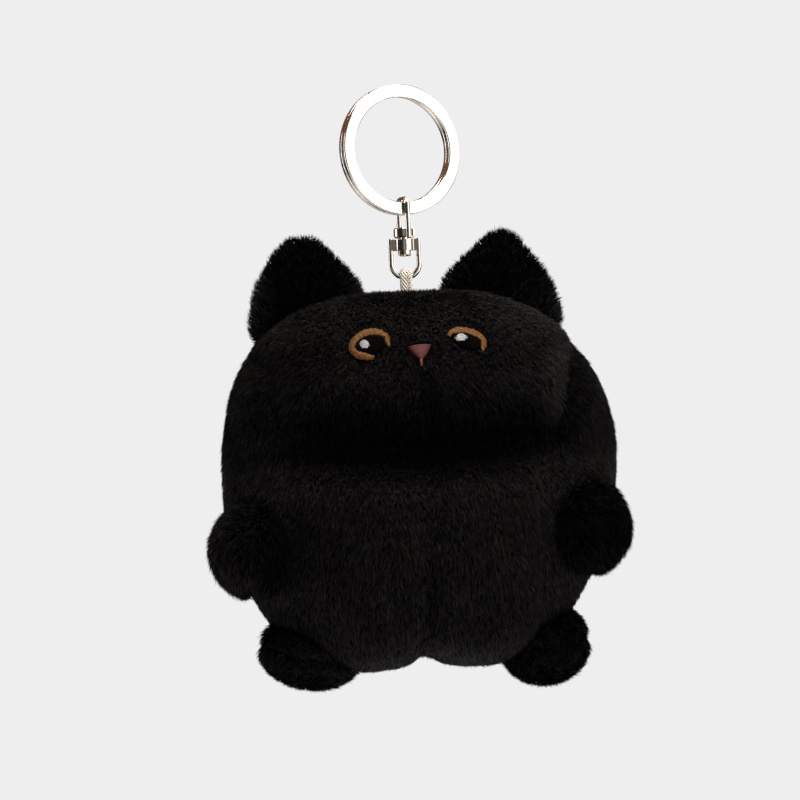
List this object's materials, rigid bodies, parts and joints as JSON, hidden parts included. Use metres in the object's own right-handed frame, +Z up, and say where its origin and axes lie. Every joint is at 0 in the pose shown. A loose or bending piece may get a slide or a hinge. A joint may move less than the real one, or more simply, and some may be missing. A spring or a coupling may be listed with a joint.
{
  "type": "plush keychain",
  "caption": "Stuffed black cat of short-pile fur fabric, hung by a woven cord from a swivel and a flat split ring.",
  "frame": {"origin": "centre of the split ring, where the keychain hangs from", "axes": "+Z up along the hanging line, +X to the viewer's right when looking at the face, -Y out of the face"},
  "size_m": [0.0948, 0.0603, 0.1396],
  "materials": {
    "nickel": "polished",
    "cord": "matte",
    "fur": "matte",
    "stuffing": "matte",
    "amber_thread": "satin",
    "black_thread": "satin",
    "white_thread": "satin",
    "pink_thread": "satin"
  },
  "bodies": {
    "ring": {"split_ring": "nickel"},
    "eye": {"swivel_eye": "nickel", "swivel_pin": "nickel"},
    "shackle": {"shackle": "nickel"},
    "plush": {"hang_cord": "cord", "cord_knot": "cord", "face_panel": "fur", "belly_left": "fur", "belly_right": "fur", "back_left": "fur", "back_right": "fur", "body_stuffing": "stuffing", "ear_left_front": "fur", "ear_left_back": "fur", "ear_right_front": "fur", "ear_right_back": "fur", "arm_left_outer": "fur", "arm_left_inner": "fur", "arm_left_stuffing": "stuffing", "arm_right_outer": "fur", "arm_right_inner": "fur", "arm_right_stuffing": "stuffing", "foot_left_top": "fur", "foot_left_sole": "fur", "foot_left_stuffing": "stuffing", "foot_right_top": "fur", "foot_right_sole": "fur", "foot_right_stuffing": "stuffing", "eye_left_iris": "amber_thread", "eye_left_pupil": "black_thread", "eye_left_glint": "white_thread", "eye_right_iris": "amber_thread", "eye_right_pupil": "black_thread", "eye_right_glint": "white_thread", "nose": "pink_thread", "mouth_stitch": "black_thread"}
  },
  "joints": [
    {"name": "ring_turn", "type": "hinge", "parent": "ring", "child": "eye", "pos_m": [0, 0, 0], "axis": [0.454, -0.891, 0], "continuous": true},
    {"name": "swivel_spin", "type": "hinge", "parent": "eye", "child": "shackle", "pos_m": [0, 0, -0.022], "axis": [0, 0, 1], "continuous": true},
    {"name": "cord_swing", "type": "hinge", "parent": "shackle", "child": "plush", "pos_m": [0, 0, -0.02913], "axis": [0.9962, 0.0872, 0], "range_deg": [-60, 60]}
  ]
}
